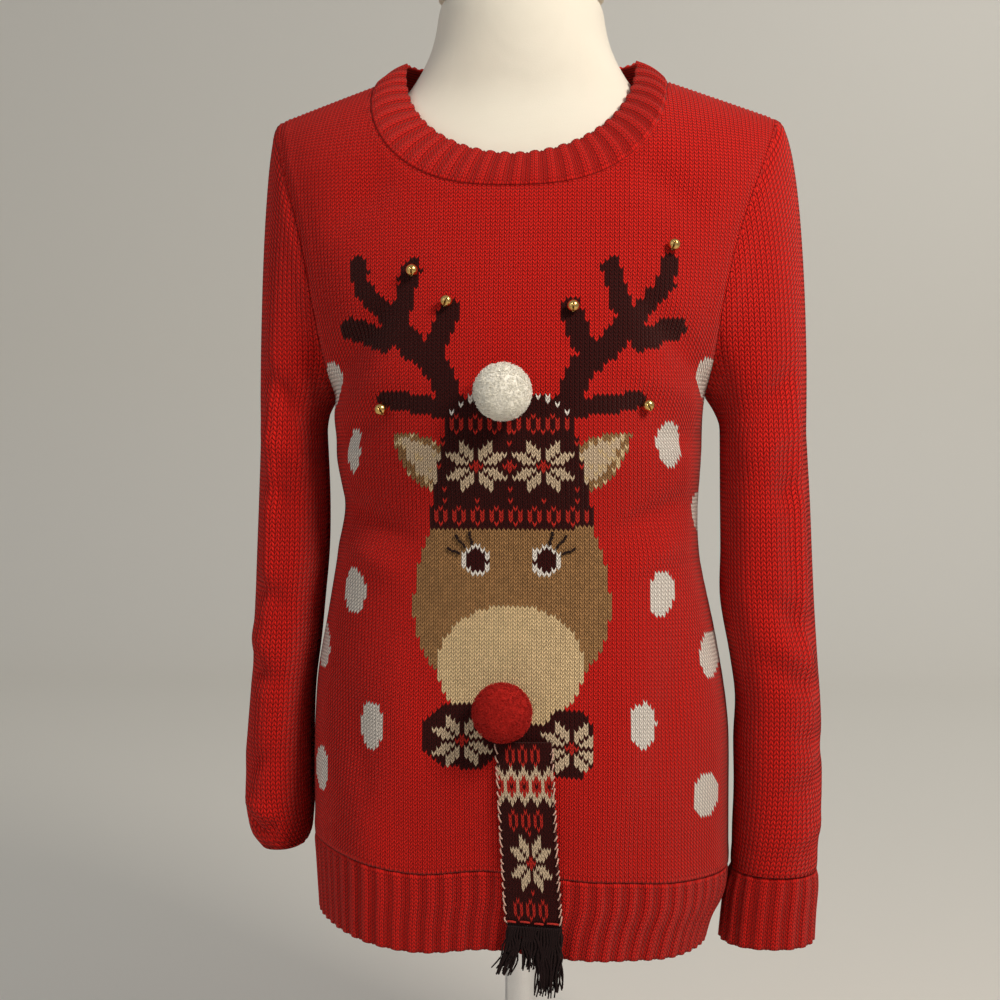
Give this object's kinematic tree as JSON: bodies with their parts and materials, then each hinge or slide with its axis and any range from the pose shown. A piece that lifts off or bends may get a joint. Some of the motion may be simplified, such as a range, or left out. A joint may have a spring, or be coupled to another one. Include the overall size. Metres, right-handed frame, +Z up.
{
  "type": "christmas sweater on a limbless dress form",
  "caption": "Red knitted long-sleeved christmas sweater with a reindeer front, worn by a limbless dress form on a short pole and round base.",
  "frame": {"origin": "on the floor under the pole, at the middle of the base's underside", "axes": "+Z up, the sweater's front faces -Y, the wearer's left sleeve is at +X"},
  "size_m": [0.4571, 0.34, 0.945],
  "materials": {
    "knit": "knitted yarn, matte with a soft sheen",
    "ribbing": "ribbed knit, matte with a soft sheen",
    "scarf": "fine knit and yarn fringe, matte",
    "pompom": "cut yarn, matte",
    "nose": "felted yarn, matte",
    "bell": "polished",
    "form_cover": "smooth jersey cover, matte",
    "pole": "polished",
    "base": "satin black"
  },
  "bodies": {
    "root": {"sweater_front": "knit", "sweater_back": "knit", "sleeve_left": "knit", "sleeve_right": "knit", "neck_rib": "ribbing", "hem_rib_front": "ribbing", "hem_rib_back": "ribbing", "cuff_left": "ribbing", "cuff_right": "ribbing", "scarf_tail": "scarf", "scarf_fringe": "scarf", "hat_pompom": "pompom", "nose_pompom": "nose", "bell_1": "bell", "bell_2": "bell", "bell_3": "bell", "bell_4": "bell", "bell_5": "bell", "bell_6": "bell", "dress_form": "form_cover", "neck_cap": "form_cover", "stand_pole": "pole", "stand_base": "base"}
  },
  "joints": []
}
